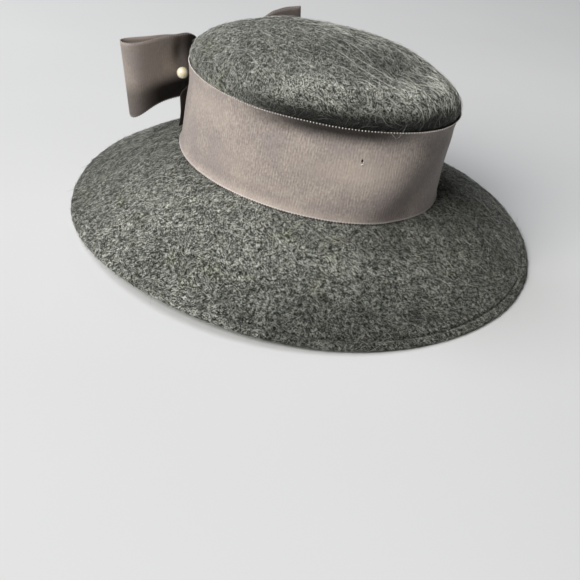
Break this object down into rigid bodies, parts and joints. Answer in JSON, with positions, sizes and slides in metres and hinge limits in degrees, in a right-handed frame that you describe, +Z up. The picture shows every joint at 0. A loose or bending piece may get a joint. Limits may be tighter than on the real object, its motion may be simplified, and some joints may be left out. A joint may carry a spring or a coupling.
{
  "type": "halo hat",
  "caption": "Wool felt hat with a shallow round crown, wide sloping brim, broad grosgrain band, flat bow at the back and a pearl-headed pin.",
  "frame": {"origin": "centre of the bounding box at the brim's edge, where the hat rests", "axes": "+Z up through the crown, -Y towards the wearer's front, +X towards the wearer's left"},
  "size_m": [0.3434, 0.3588, 0.1451],
  "materials": {
    "felt": "matt hairy wool felt, grey melange",
    "grosgrain": "fine upright ribs, low sheen, taupe grey",
    "pearl": "cream imitation pearl, glossy",
    "steel": "plain drawn wire"
  },
  "bodies": {
    "root": {"felt_hood": "felt", "band_ribbon": "grosgrain", "bow_ribbon": "grosgrain", "bow_knot": "grosgrain", "pin_pearl": "pearl", "pin_shaft": "steel"}
  },
  "joints": []
}
